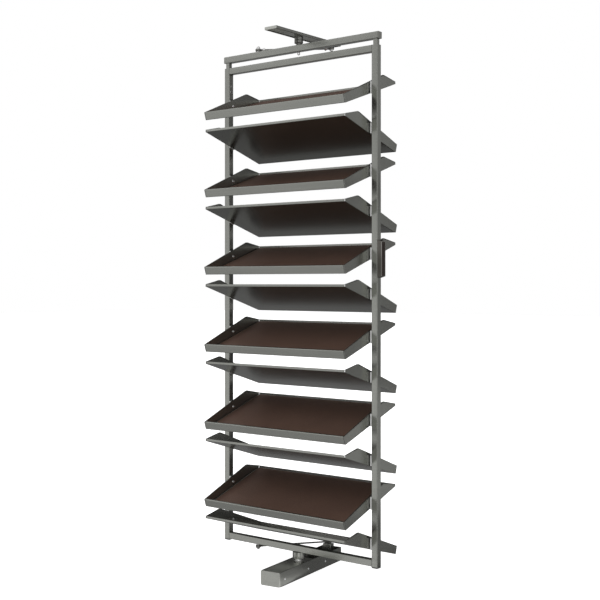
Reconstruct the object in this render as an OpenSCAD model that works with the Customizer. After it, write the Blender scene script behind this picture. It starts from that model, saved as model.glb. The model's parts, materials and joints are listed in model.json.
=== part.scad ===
// Revolving double-sided shoe rack that slides out of a wardrobe.
// Millimetres. +Z is up and z = 0 is the floor. The origin is the rack's turning axis at floor level.
// X runs along the frame, and -Y is the side that the pull handle's user stands on.

// "all" draws the whole rack, a sub-part's name draws that sub-part alone

/* [Frame] */
// Overall width of the tube frame
frame_w = 740; // [600:5:1000]
// Side of the square tube
tube = 25; // [20:1:30]
// Wall of the square tube
tube_wall = 1.5; // [1:0.1:3]
// Height of the frame's top above the floor
frame_top_z = 1966; // [1900:1:2200]
// Height of the lower crossbar's underside
frame_low_z = 85.5; // [80:0.5:95]
// Side of the telescoping posts
post_w = 17; // [14:1:19]
// Height of the posts' lower ends
post_low_z = 1800; // [1700:10:1850]
// Gap between the frame's top and the top beam
beam_gap = 21.5; // [5:0.5:60]
// Thickness of the beam's end caps
cap_t = 3.5; // [2:0.5:6]

/* [Shelves] */
// Number of shelves
shelf_count = 12; // [2:2:12]
// Height from one shelf to the next
shelf_pitch = 150; // [130:5:200]
// Height of the top shelf at mid depth
shelf_top_z = 1794.8; // [1500:1:1900]
// Outside width of a shelf
shelf_w = 671; // [500:1:800]
// Length of a shelf along its slope
shelf_len = 334.9; // [250:1:400]
// Slope of the front-facing shelves
front_tilt = 19.2; // [0:0.1:25]
// Slope of the back-facing shelves
back_tilt = 17.1; // [0:0.1:25]
// Height of the lip that stops the shoes
lip_h = 31.3; // [15:0.1:45]
// Greatest height of the side panels
peak_h = 48.5; // [30:0.1:70]
// Distance of that peak from the shelf's high end
peak_back = 68.2; // [30:0.1:120]
// Height of the low hem at the high end
hem_h = 9; // [4:0.5:20]
// Sheet thickness of the shelves
sheet_t = 1.2; // [0.8:0.1:2]
// Thickness of the mats
mat_t = 2; // [1:0.5:4]

/* [Handle] */
// Height of the handle's middle above the floor
handle_z = 1195; // [900:5:1400]
// Length of the handle
handle_len = 138; // [90:1:200]
// How far the handle stands out from the frame
handle_out = 19; // [12:1:40]

/* [Base rail] */
// Turn of the base rail from the frame's square position
base_turn = 7.5; // [0:0.5:10]
// Width of the base rail
base_w = 82; // [70:1:110]
// Height of the base rail
base_h = 54; // [50:1:70]
// Distance of the base rail's front from the axis
base_front = 203; // [160:1:260]
// Distance of the base rail's rear from the axis
base_rear = 261; // [250:1:320]
// Wall of the base rail
base_wall = 2; // [1.5:0.5:3]
// Spacing of the floor screws
floor_pitch = 360; // [300:5:380]
// Distance of the rail's tie-rod pin from the axis
low_pin_v = 235; // [225:1:245]

/* [Top rail] */
// Width of the top rail
top_w = 57; // [50:1:80]
// Height of the top rail's top face
top_z = 2055; // [2050:1:2300]
// Height of the top rail's section
top_h = 11; // [9:0.5:15]
// Distance of the top rail's front from the axis
top_front = 167; // [120:1:220]
// Distance of the top rail's rear from the axis
top_rear = 232; // [225:1:320]
// Distance of the top rail's tie-rod pin from the axis
top_pin_y = 207; // [200:1:215]

/* [Tie rods] */
// Distance of the frame-side pins from the axis
crank_r = 203; // [150:1:240]
// Diameter of the tie-rod pins
pin_d = 8; // [6:0.5:10]
// Diameter of the lower tie rod
low_rod_d = 7; // [6:0.5:8]
// Diameter of the upper tie rod
top_rod_d = 10; // [6:0.5:12]

/* [Hidden] */
$fn = 48;
run_gap = 0.05;        // radial running clearance of pins and shafts
free_gap = 0.3;        // clearance between parts that pass each other
eps = 0.5;             // overrun of a cutter past a face

half_w = frame_w / 2;
upright_x = half_w - tube / 2;
inner_x = half_w - tube;
shelf_x = shelf_w / 2;
hanger_t = inner_x - shelf_x;
hanger_rise = 41;      // top of a hanger block above its shelf's mid height
screw_rise = 19;       // shelf screw above its shelf's mid height
screw_d = 5;
screw_head_d = 11;
lip_lean = 0.7;
lip_fold = 8;          // flat return at the top of the lip
side_fold = 4;         // flat return along the side panels
hem_lean = 1.8;
peak_cut = 4;          // blunted corner of the side panels' peak
mat_edge = 4;          // bare sheet around the mat

foot_drop = 5;
foot_screw_x = inner_x - 5;
clamp_screw_z = [1894, 1872];
clamp_screw_d = [5, 8];
guide_depth = 30;
beam_z = frame_top_z + beam_gap;
beam_top_z = beam_z + tube;

cap_depth = 11.5;      // depth of the moving front cap
cover_rear = 45;
cover_z = base_h - 3;
cover_t = 2.5;
slide_z = 7;
slide_h = 36;
slide_t = 1.2;
slide_side = base_w / 2 - base_wall;
slide_depth = 5.5;
inner_slide_in = 29;   // inner face of the moving slides from the rail's middle
inner_slide_out = 36.5;
base_screw_v = [-165, 4, 134];
base_screw_z = 25;
neck_d = 26;
neck_top_z = 60.2;
housing_d = 47;
housing_z = neck_top_z + free_gap;
shaft_d = 20;
housing_screw_x = 17;

post_block_w = 36;
post_block_l = 30;
post_block_z = 70.5;
post_block_v = 228;
low_rod_z = 76;        // its rod passes just under the uprights' feet
low_eye_d = 20;
eye_h = 10;

top_wall = 1.5;
runner_in = 2.2;       // side gap from the top rail's outside to its runner
runner_low_z = top_z - top_h + top_wall + free_gap + 0.2;
runner_top_z = top_z - top_wall - free_gap;
runner_rear = 190;
runner_plate_front = -25;
runner_plate_w = 46;
top_lip = 4.5;         // width of the top rail's inward lips
top_pivot_d = 33;
release_pin_d = 12;
release_grip = 7;      // how far the release pin stands above the beam
top_eye_d = 22;
top_eye_h = 9;
spacer_d = 14;
joint_low_z = 2020.5;  // mid height of the upper rod's frame-side eye
joint_top_z = 2035.5;  // mid height of the upper rod's rail-side eye
ceiling_hole_y = [-130, 220];
screw_hole_d = 5.5;    // holes for the floor and ceiling screws
jam_nut_from_pin = [20, 26];

handle_screw_d = 4;
handle_screw_at = 0.33;    // handle screws from its middle, as a part of its length
handle_insert_t = 1.5;
handle_chamfer = [5, 7];   // drop of the outer face at the lower and upper ends

small_screw_d = 4;
foot_plug_h = 18;
plug_gap = 0.2;
foot_head = [7.5, 1.8];    // diameter and height
housing_head = [8.6, 4];
housing_head_z = 1;
washer_d = 38;

low_pin = [-low_pin_v * sin(base_turn), low_pin_v * cos(base_turn)];
frame_pin = [-crank_r, 0];
top_pin = [0, top_pin_y];

function two_digits(i) = i < 10 ? str("0", i) : str(i);
function shelf_name(i) = str("shelf_", two_digits(i));
function mat_name(i) = str("mat_", two_digits(i));
function shelf_z(i) = shelf_top_z - shelf_pitch * (i - 1);
function faces_front(i) = i % 2 == 1;
function shelf_tilt(i) = faces_front(i) ? front_tilt : back_tilt;
function side_sign(side) = side == "left" ? -1 : 1;

metal = [0.52, 0.52, 0.49];
metal_light = [0.60, 0.60, 0.57];
metal_dark = [0.30, 0.30, 0.28];
steel = [0.80, 0.80, 0.80];
leather = [0.30, 0.22, 0.19];
plastic = [0.16, 0.16, 0.15];

// ---- shared shapes ----

module square_tube(length, side = tube, wall = tube_wall) {
    // along +Z from z = 0
    linear_extrude(length) difference() {
        square(side, center = true);
        square(side - 2 * wall, center = true);
    }
}

module bar_along_x(half_length, z) {
    translate([-half_length, 0, z + tube / 2]) rotate([0, 90, 0]) square_tube(2 * half_length);
}

module rod_x(x0, x1, d) {
    translate([x0, 0, 0]) rotate([0, 90, 0]) cylinder(h = x1 - x0, d = d);
}

module ring_plate(d, bore, h) {
    difference() {
        cylinder(h = h, d = d);
        translate([0, 0, -eps]) cylinder(h = h + 2 * eps, d = bore);
    }
}

module hex_nut(across, h) {
    cylinder(h = h, d = across / cos(30), $fn = 6);
}

module dome_nut(d, h) {
    // flange, hexagon and domed top, upwards from z = 0
    flange_h = h * 0.2;
    hex_h = h * 0.4;
    cylinder(h = flange_h, d = d);
    translate([0, 0, flange_h]) hex_nut(d * 0.78, hex_h);
    translate([0, 0, flange_h + hex_h]) rotate_extrude() intersection() {
        scale([1, (h - flange_h - hex_h) / (d * 0.39)]) circle(d = d * 0.78);
        square(d);
    }
}

// ---- shelves ----

module on_shelf(i) {
    // local frame: x across, y up the slope from the low edge, z off the sheet
    translate([0, 0, shelf_z(i)])
        rotate([0, 0, faces_front(i) ? 0 : 180])
            rotate([shelf_tilt(i), 0, 0])
                translate([0, -shelf_len / 2, 0]) children();
}

module folded_sheet() {
    // lip, floor and hem in one bent profile
    rotate([90, 0, 90]) translate([0, 0, -shelf_x]) linear_extrude(shelf_w) polygon([
        [0, 0],
        [shelf_len, 0],
        [shelf_len + hem_lean, hem_h],
        [shelf_len + hem_lean - sheet_t, hem_h],
        [shelf_len - sheet_t, sheet_t],
        [sheet_t, sheet_t],
        [sheet_t + lip_lean, lip_h - sheet_t],
        [lip_fold, lip_h - sheet_t],
        [lip_fold, lip_h],
        [lip_lean, lip_h]
    ]);
}

module side_outline() {
    peak_y = shelf_len - peak_back;
    rise = (peak_h - lip_h) / (peak_y - lip_lean);
    fall = (peak_h - hem_h) / (shelf_len + hem_lean - peak_y);
    polygon([
        [0, 0],
        [lip_lean, lip_h],
        [peak_y - peak_cut, peak_h - rise * peak_cut],
        [peak_y + peak_cut, peak_h - fall * peak_cut],
        [shelf_len + hem_lean, hem_h],
        [shelf_len, 0]
    ]);
}

module side_panel() {
    // from the shelf's edge inwards, drawn at x = 0 to +x
    rotate([90, 0, 90]) {
        linear_extrude(sheet_t) side_outline();
        linear_extrude(side_fold) difference() {
            side_outline();
            translate([0, -sheet_t * 1.1]) side_outline();
            translate([-eps, -eps]) square([sheet_t * 2 + eps, lip_h - sheet_t + eps]);
            translate([shelf_len - sheet_t, -eps]) square([sheet_t * 4, hem_h]);
        }
    }
}

module shelf_screw_axis(i, side) {
    // x = 0 at the shelf's outer face, +x outwards
    translate([side_sign(side) * shelf_x, 0, shelf_z(i) + screw_rise])
        rotate([0, 0, side == "left" ? 180 : 0]) children();
}

module shelf(i) {
    color(metal) difference() {
        on_shelf(i) {
            folded_sheet();
            translate([-shelf_x, 0, 0]) side_panel();
            translate([shelf_x, 0, 0]) mirror([1, 0, 0]) side_panel();
        }
        for (side = ["left", "right"])
            shelf_screw_axis(i, side) rod_x(-2 * sheet_t, eps, screw_d + 0.4);
    }
}

module mat(i) {
    mat_x = shelf_x - sheet_t - mat_edge;
    color(leather) on_shelf(i)
        translate([-mat_x, mat_edge, sheet_t])
            cube([2 * mat_x, shelf_len - 2 * mat_edge, mat_t]);
}

module hangers(side) {
    color(metal_light) for (i = [1:shelf_count]) difference() {
        translate([side_sign(side) * (shelf_x + hanger_t / 2), 0, shelf_z(i)])
            rotate([0, 0, faces_front(i) ? 0 : 180])
                rotate([90, 0, 90]) translate([0, 0, -hanger_t / 2]) linear_extrude(hanger_t)
                    polygon([
                        [-tube / 2, -tube / 2 * tan(shelf_tilt(i))],
                        [tube / 2, tube / 2 * tan(shelf_tilt(i))],
                        [tube / 2, hanger_rise],
                        [-tube / 2, hanger_rise]
                    ]);
        shelf_screw_axis(i, side) rod_x(-eps, hanger_t + eps, screw_d + 0.4);
    }
}

module shelf_screws() {
    head_h = 2.5;
    reach = hanger_t + tube_wall + 1;
    color(steel) for (i = [1:shelf_count], side = ["left", "right"])
        shelf_screw_axis(i, side) {
            rod_x(-sheet_t - head_h, -sheet_t, screw_head_d);
            rod_x(-sheet_t - eps, reach, screw_d);
        }
}

// ---- frame ----

module upright(side) {
    color(metal) difference() {
        translate([side_sign(side) * upright_x, 0, frame_low_z])
            square_tube(frame_top_z - frame_low_z);
        for (i = [1:shelf_count])
            shelf_screw_axis(i, side)
                rod_x(hanger_t - eps, hanger_t + tube_wall + eps, screw_d + 2 * run_gap);
        for (k = [0:1])
            clamp_screw_axis(side, k)
                rod_x(-eps, tube_wall + eps, clamp_screw_d[k] + 2 * run_gap);
        if (side == "right") handle_screw_axes()
            rod_x(-tube_wall - eps, eps, handle_screw_d + 2 * run_gap);
    }
}

module clamp_screw_axis(side, k) {
    // x = 0 at the upright's inner face, +x outwards
    translate([side_sign(side) * inner_x, 0, clamp_screw_z[k]])
        rotate([0, 0, side == "left" ? 180 : 0]) children();
}

module post_clamp_screws() {
    reach = (tube - post_w) / 2 - free_gap;
    color(metal_dark) for (side = ["left", "right"], k = [0:1])
        clamp_screw_axis(side, k) difference() {
            rod_x(-0.6, reach, clamp_screw_d[k]);
            rotate([0, 90, 0]) translate([0, 0, -1]) hex_nut(clamp_screw_d[k] / 2, 2.4);
        }
}

module bottom_crossbar() {
    color(metal) difference() {
        bar_along_x(inner_x, frame_low_z);
        for (s = [-1, 1]) {
            translate([s * foot_screw_x, 0, frame_low_z - eps])
                cylinder(h = tube_wall + 2 * eps, d = small_screw_d + 2 * run_gap);
            translate([s * housing_screw_x, 0, frame_low_z - eps])
                cylinder(h = tube_wall + 2 * eps, d = screw_d + 2 * run_gap);
        }
    }
}

module upper_crossbar() {
    color(metal) bar_along_x(inner_x, frame_top_z - tube);
}

module frame_screws() {
    // every small screw that stays in the frame, apart from those of the shelves and posts
    foot_screws();
    housing_screws();
    handle_screws();
}

module upright_feet() {
    plug = tube - 2 * tube_wall - plug_gap;
    color(plastic) for (s = [-1, 1]) translate([s * upright_x, 0, frame_low_z]) {
        translate([0, 0, -foot_drop]) linear_extrude(foot_drop) square(tube, center = true);
        linear_extrude(foot_plug_h) square(plug, center = true);
    }
}

module foot_screws() {
    color(metal_dark) for (s = [-1, 1]) translate([s * foot_screw_x, 0, frame_low_z]) {
        translate([0, 0, -foot_head[1]]) cylinder(h = foot_head[1], d = foot_head[0]);
        cylinder(h = 5, d = small_screw_d);
    }
}

module post_guides() {
    plug = tube - 2 * tube_wall - 0.1;
    hole = post_w + 2 * free_gap;
    color(plastic) for (s = [-1, 1])
        translate([s * upright_x, 0, frame_top_z - guide_depth])
            square_tube(guide_depth - 0.5, plug, (plug - hole) / 2);
}

module post(side) {
    color(metal_light) translate([side_sign(side) * upright_x, 0, post_low_z])
        square_tube(beam_z - post_low_z, post_w, tube_wall);
}

module top_beam() {
    color(metal) difference() {
        bar_along_x(half_w, beam_z);
        translate([0, 0, beam_top_z - tube_wall - eps])
            cylinder(h = tube_wall + 2 * eps, d = release_pin_d + 2 * run_gap);
        translate([0, 0, beam_z - eps])
            cylinder(h = tube_wall + 2 * eps, d = release_pin_d + 2 * run_gap);
    }
}

module beam_end_caps() {
    plug = tube - 2 * tube_wall - plug_gap;
    plug_l = 10;
    color(metal) for (s = [-1, 1]) translate([s * half_w, 0, beam_z + tube / 2]) {
        translate([s * cap_t / 2, 0, 0]) cube([cap_t, tube, tube], center = true);
        translate([-s * plug_l / 2, 0, 0]) cube([plug_l, plug, plug], center = true);
    }
}

// ---- handle ----

module handle_screw_axes() {
    // x = 0 at the upright's outer face
    for (s = [-1, 1]) translate([half_w, 0, handle_z + s * handle_len * handle_screw_at]) children();
}

module handle_body() {
    low = handle_z - handle_len / 2;
    high = handle_z + handle_len / 2;
    out = handle_out - handle_insert_t;
    color(metal_dark) difference() {
        translate([half_w, tube / 2, 0]) rotate([90, 0, 0]) linear_extrude(tube) polygon([
            [0, low],
            [out, low + handle_chamfer[0]],
            [out, high - handle_chamfer[1]],
            [0, high]
        ]);
        handle_screw_axes() {
            rod_x(-eps, handle_out, handle_screw_d + 2 * run_gap);
            rod_x(out - 3, handle_out, 2 * handle_screw_d + 0.4);
        }
    }
}

module handle_insert() {
    low = handle_z - handle_len / 2 + handle_chamfer[0];
    high = handle_z + handle_len / 2 - handle_chamfer[1];
    border = 1;
    color(leather)
        translate([half_w + handle_out - handle_insert_t, border - tube / 2, low + border])
            cube([handle_insert_t, tube - 2 * border, high - low - 2 * border]);
}

module handle_screws() {
    out = handle_out - handle_insert_t;
    color(steel) handle_screw_axes() {
        rod_x(out - 3, out - 0.2, 2 * handle_screw_d);
        rod_x(-tube_wall - 1, out - 2.5, handle_screw_d);
    }
}

// ---- base rail, drawn with u = x across and v = y along, front at -v ----

module in_base() {
    rotate([0, 0, base_turn]) children();
}

module both_sides() {
    children();
    mirror([1, 0, 0]) children();
}

module base_channel() {
    front = -base_front + cap_depth + free_gap;
    length = base_rear - front;
    color(metal) in_base() difference() {
        translate([-base_w / 2, front, 0]) cube([base_w, length, base_h]);
        translate([-base_w / 2 + base_wall, front - eps, base_wall])
            cube([base_w - 2 * base_wall, length - base_wall + eps, base_h]);
        for (s = [-1, 1])
            translate([0, s * floor_pitch / 2, -eps])
                cylinder(h = base_wall + 2 * eps, d = screw_hole_d);
        both_sides() for (v = base_screw_v)
            translate([0, v, base_screw_z])
                rod_x(slide_side - eps, base_w / 2 + eps, small_screw_d + 2 * run_gap);
    }
}

module outer_slides() {
    length = 2 * 188;
    color(steel) in_base() both_sides() difference() {
        translate([slide_side - slide_depth, -length / 2, slide_z])
            cube([slide_depth, length, slide_h]);
        translate([slide_side - slide_depth - eps, -length / 2 - eps, slide_z + slide_t])
            cube([slide_depth - slide_t + eps, length + 2 * eps, slide_h - 2 * slide_t]);
        for (v = base_screw_v)
            translate([0, v, base_screw_z])
                rod_x(slide_side - slide_depth, slide_side + eps, small_screw_d + 2 * run_gap);
    }
}

module side_screws() {
    color(steel) in_base() both_sides() for (v = base_screw_v)
        translate([0, v, base_screw_z]) {
            rod_x(base_w / 2, base_w / 2 + 2, 2 * small_screw_d);
            rod_x(slide_side - slide_t - eps, base_w / 2 + eps, small_screw_d);
        }
}

module anchor_post() {
    bore_depth = 25;
    color(metal) in_base() difference() {
        translate([-post_block_w / 2, post_block_v - post_block_l / 2, base_wall])
            cube([post_block_w, post_block_l, post_block_z - base_wall]);
        translate([0, low_pin_v, post_block_z - bore_depth])
            cylinder(h = bore_depth + eps, d = pin_d + 2 * run_gap);
    }
}

module anchor_stud() {
    stud_low = post_block_z - 24;
    nut_z = low_rod_z + eye_h / 2 + free_gap;
    nut_h = 5;
    color(steel) in_base() translate([0, low_pin_v, 0]) {
        translate([0, 0, stud_low]) cylinder(h = nut_z + nut_h + 1.5 - stud_low, d = pin_d);
        translate([0, 0, nut_z]) hex_nut(13, nut_h);
    }
}

// ---- carriage ----

module carriage() {
    front = -base_front + cap_depth + 1;
    web_rear = 150;
    web_low = 10;
    web_t = 2;
    notch_z = 40;
    cover_x = slide_side - 1;
    color(metal_light) in_base() difference() {
        union() {
            translate([-cover_x, front, cover_z]) cube([2 * cover_x, cover_rear - front, cover_t]);
            both_sides() translate([inner_slide_in - web_t, front, web_low])
                cube([web_t, web_rear - front, cover_z + cover_t - web_low]);
            translate([-inner_slide_in, -25, web_low]) cube([2 * inner_slide_in, 50, web_t]);
        }
        both_sides() translate([inner_slide_in - web_t - eps, cover_rear, notch_z])
            cube([web_t + 2 * eps, web_rear, base_h]);
        translate([0, 0, web_low - eps]) cylinder(h = base_h, d = shaft_d + 2 * run_gap);
    }
}

module inner_slides() {
    // channels open towards the fixed slides
    front = -base_front + cap_depth + 1;
    length = 180 - front;
    depth = inner_slide_out - inner_slide_in;
    wall = 2;
    height = 26;
    color(steel) in_base() both_sides() translate([inner_slide_in, front, 12]) difference() {
        cube([depth, length, height]);
        translate([wall, -eps, wall]) cube([depth, length + 2 * eps, height - 2 * wall]);
    }
}

module front_cap() {
    wall = 3;
    low = 1;
    color(metal_light) in_base() difference() {
        translate([-base_w / 2, -base_front, low]) cube([base_w, cap_depth, base_h - low]);
        translate([-base_w / 2 + wall, -base_front + wall, low + wall])
            cube([base_w - 2 * wall, cap_depth, base_h - low - 2 * wall]);
    }
}

module pivot_shaft() {
    // bearing washer, neck and shaft in one turned piece through the carriage
    low = 12.2;
    top = frame_low_z - 3;
    color(steel) {
        translate([0, 0, low]) cylinder(h = top - low, d = shaft_d);
        translate([0, 0, base_h - 0.5]) cylinder(h = 1.3, d = washer_d);
        translate([0, 0, base_h]) cylinder(h = neck_top_z - base_h, d = neck_d);
    }
}

module pivot_housing() {
    height = frame_low_z - housing_z;
    color(metal) translate([0, 0, housing_z]) difference() {
        cylinder(h = height, d = housing_d);
        translate([0, 0, -eps]) cylinder(h = height - 2 + eps, d = shaft_d + 2 * run_gap);
        for (s = [-1, 1]) translate([s * housing_screw_x, 0, -eps]) {
            cylinder(h = height + 2 * eps, d = screw_d + 2 * run_gap);
            cylinder(h = 5 + eps, d = 9);
        }
    }
}

module housing_screws() {
    color(steel) for (s = [-1, 1]) translate([s * housing_screw_x, 0, housing_z]) {
        translate([0, 0, housing_head_z]) cylinder(h = housing_head[1], d = housing_head[0]);
        translate([0, 0, housing_head_z + eps])
            cylinder(h = frame_low_z + 4 - housing_z - housing_head_z - eps, d = screw_d);
    }
}

// ---- tie rods ----

module tie_rod(from, to, z_from, z_to, rod_d, eye_d, eye_height) {
    // two eyes joined by a rod, which stops short of their bores
    span = norm(to - from);
    bearing = atan2(to[1] - from[1], to[0] - from[0]);
    climb = atan2(z_to - z_from, span);
    start = eye_d * 0.42;
    ends = [[from[0], from[1], z_from], [to[0], to[1], z_to]];
    difference() {
        union() {
            for (end = ends)
                translate(end) cylinder(h = eye_height, d = eye_d, center = true);
            translate(ends[0]) rotate([0, -climb, bearing])
                rod_x(start, span / cos(climb) - start, rod_d);
        }
        for (end = ends)
            translate(end) cylinder(h = 2 * eye_height, d = pin_d + 2 * run_gap, center = true);
    }
}

module lower_tie_rod() {
    color(metal_dark)
        tie_rod(frame_pin, low_pin, low_rod_z, low_rod_z, low_rod_d, low_eye_d, eye_h);
}

module lower_rod_stud() {
    // cap nut under the eye, stud up towards the crossbar
    eye_low = low_rod_z - eye_h / 2;
    color(steel) translate([frame_pin[0], frame_pin[1], 0]) {
        translate([0, 0, eye_low]) mirror([0, 0, 1]) dome_nut(16, 7);
        translate([0, 0, eye_low - 3])
            cylinder(h = frame_low_z - free_gap - eye_low + 3, d = pin_d);
    }
}

module upper_tie_rod() {
    span = norm(top_pin - frame_pin);
    bearing = atan2(top_pin[1] - frame_pin[1], top_pin[0] - frame_pin[0]);
    climb = atan2(joint_top_z - joint_low_z, span);
    color(metal_dark) {
        tie_rod(frame_pin, top_pin, joint_low_z, joint_top_z, top_rod_d, top_eye_d, top_eye_h);
        translate([frame_pin[0], frame_pin[1], joint_low_z]) rotate([0, -climb, bearing])
            for (x = [jam_nut_from_pin[0], span - jam_nut_from_pin[1]])
                translate([x, 0, 0]) rotate([0, 90, 0]) hex_nut(15, 6);
    }
}

module upper_rod_stud() {
    eye_low = joint_low_z - top_eye_h / 2;
    eye_top = joint_low_z + top_eye_h / 2;
    foot = beam_top_z + free_gap;
    color(steel) translate([frame_pin[0], frame_pin[1], 0]) {
        translate([0, 0, foot]) cylinder(h = eye_top + 3 - foot, d = pin_d);
        translate([0, 0, foot]) cylinder(h = eye_low - foot, d = spacer_d);
        translate([0, 0, eye_top]) dome_nut(16.5, 11);
    }
}

// ---- top rail ----

module top_channel() {
    front = -top_front + top_wall + free_gap;
    length = top_rear - front;
    section_low = top_z - top_h;
    color(metal) difference() {
        translate([-top_w / 2, front, section_low]) cube([top_w, length, top_h]);
        translate([-top_w / 2 + top_wall, front - eps, section_low + top_wall])
            cube([top_w - 2 * top_wall, length - top_wall + eps, top_h - 2 * top_wall]);
        translate([-top_w / 2 + top_wall + top_lip, front - eps, section_low - eps])
            cube([top_w - 2 * top_wall - 2 * top_lip, length - top_wall + eps, 2 * top_wall]);
        for (y = ceiling_hole_y)
            translate([0, y, top_z - top_wall - eps])
                cylinder(h = top_wall + 2 * eps, d = screw_hole_d);
    }
}

module top_anchor_stud() {
    eye_low = joint_top_z - top_eye_h / 2;
    eye_top = joint_top_z + top_eye_h / 2;
    rail_under = top_z - top_wall;
    nut_h = 5.5;
    color(steel) translate([0, top_pin_y, 0]) {
        translate([0, 0, eye_low - 7]) cylinder(h = rail_under - eye_low + 7, d = pin_d);
        translate([0, 0, eye_top + free_gap])
            cylinder(h = rail_under - eye_top - free_gap, d = spacer_d);
        translate([0, 0, eye_low - free_gap - nut_h]) hex_nut(13, nut_h);
    }
}

module top_runner() {
    // inverted channel with a front flange that closes the rail, stiffened around the pivot
    runner_x = top_w / 2 - runner_in;
    front = -top_front;
    length = runner_rear - front;
    color(metal_light) {
        difference() {
            translate([-runner_x, front + top_wall, runner_low_z])
                cube([2 * runner_x, length - top_wall, runner_top_z - runner_low_z]);
            translate([-runner_x + top_wall, front, runner_low_z - eps]) cube([
                2 * runner_x - 2 * top_wall,
                length + eps,
                runner_top_z - runner_low_z - top_wall + eps
            ]);
        }
        translate([-top_w / 2, front, top_z - top_h]) cube([top_w, top_wall, top_h]);
        translate([-runner_plate_w / 2, front, runner_low_z])
            cube([runner_plate_w, top_wall + 1, runner_top_z - runner_low_z]);
        difference() {
            translate([-runner_x, runner_plate_front, runner_low_z])
                cube([2 * runner_x, runner_rear - runner_plate_front, top_wall]);
            translate([0, 0, runner_low_z - eps])
                cylinder(h = 2 * top_wall, d = top_pivot_d + 0.2);
        }
    }
}

module top_pivot() {
    // turned post under the runner, bored for the release pin
    low = beam_top_z + free_gap;
    color(metal_light) difference() {
        translate([0, 0, low]) cylinder(h = runner_top_z - top_wall - low, d = top_pivot_d);
        translate([0, 0, low - eps])
            cylinder(h = release_grip + 3 + eps, d = release_pin_d + 2 * run_gap);
    }
}

module release_pin() {
    // pivot pin through the beam, with a stop collar inside it and a pull ring below
    ring_r = 4.7;
    wire_r = 1.5;
    ring_z = beam_z - 6.7;
    pin_low = beam_z - 0.5;
    neck_low = ring_z + ring_r - wire_r;
    collar_h = 2.9;
    collar_z = beam_top_z - tube_wall - collar_h - 0.1;
    color(steel) {
        translate([0, 0, pin_low])
            cylinder(h = beam_top_z + release_grip - pin_low, d = release_pin_d);
        translate([0, 0, collar_z]) cylinder(h = collar_h, d = 1.5 * release_pin_d);
        translate([0, 0, neck_low]) cylinder(h = pin_low + 1 - neck_low, d = 4);
        translate([0, 0, ring_z]) rotate([90, 0, 0])
            rotate_extrude() translate([ring_r, 0]) circle(r = wire_r);
    }
}

// ---- assembly ----

for (i = [1:shelf_count]) {
    shelf(i);
    mat(i);
}
hangers("left");  // hangers_left
hangers("right");  // hangers_right
shelf_screws();
upright("left");  // left_upright
upright("right");  // right_upright
bottom_crossbar();
upper_crossbar();
upright_feet();
post_guides();
post_clamp_screws();
frame_screws();
post("left");  // left_post
post("right");  // right_post
top_beam();
beam_end_caps();
handle_body();
handle_insert();
base_channel();
outer_slides();
side_screws();
anchor_post();
anchor_stud();
carriage();
inner_slides();
front_cap();
pivot_shaft();
pivot_housing();
lower_tie_rod();
lower_rod_stud();
top_channel();
top_anchor_stud();
top_runner();
top_pivot();
release_pin();
upper_tie_rod();
upper_rod_stud();
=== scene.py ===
"""Revolving pull-out shoe rack: looks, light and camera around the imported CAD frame. Metres."""
import json
import math

import bmesh
import bpy
from mathutils import Matrix, Vector


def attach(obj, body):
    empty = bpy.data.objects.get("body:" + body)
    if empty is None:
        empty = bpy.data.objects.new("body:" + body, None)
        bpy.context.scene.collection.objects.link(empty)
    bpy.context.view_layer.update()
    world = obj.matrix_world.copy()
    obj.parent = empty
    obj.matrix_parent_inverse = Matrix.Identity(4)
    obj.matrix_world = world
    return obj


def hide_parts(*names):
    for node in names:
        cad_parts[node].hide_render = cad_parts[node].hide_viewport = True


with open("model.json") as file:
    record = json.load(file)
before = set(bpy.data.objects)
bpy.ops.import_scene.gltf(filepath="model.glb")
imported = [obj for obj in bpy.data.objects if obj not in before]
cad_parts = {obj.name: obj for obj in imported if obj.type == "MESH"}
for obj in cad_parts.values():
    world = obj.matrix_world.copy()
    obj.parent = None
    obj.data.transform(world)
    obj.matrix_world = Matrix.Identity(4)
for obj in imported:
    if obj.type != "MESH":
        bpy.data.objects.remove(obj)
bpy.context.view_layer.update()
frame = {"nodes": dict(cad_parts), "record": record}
NODES = frame["nodes"]
RECORD = frame["record"]

MM = 0.001

# ---------------------------------------------------------------- camera

VIEW_AZIMUTH = math.radians(38.49)
CAMERA_PLACE = (2.5947, -3.2554, 1.1065)
FOCAL_MM = 65.6
SENSOR_MM = 36
VERTICAL_SHIFT = -0.0278
CLIP_END = 60
LEVEL = math.radians(90)


def make_camera():
    data = bpy.data.cameras.new("camera")
    data.sensor_width = SENSOR_MM
    data.lens = FOCAL_MM
    data.shift_y = VERTICAL_SHIFT
    data.clip_end = CLIP_END
    camera = bpy.data.objects.new("camera", data)
    camera.location = CAMERA_PLACE
    camera.rotation_euler = (LEVEL, 0, VIEW_AZIMUTH)
    bpy.context.collection.objects.link(camera)
    bpy.context.scene.camera = camera


# ---------------------------------------------------------------- node helpers

EVEN = (1, 1, 1)


def add_node(tree, kind, **settings):
    made = tree.nodes.new(kind)
    for key, value in settings.items():
        setattr(made, key, value)
    return made


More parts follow.
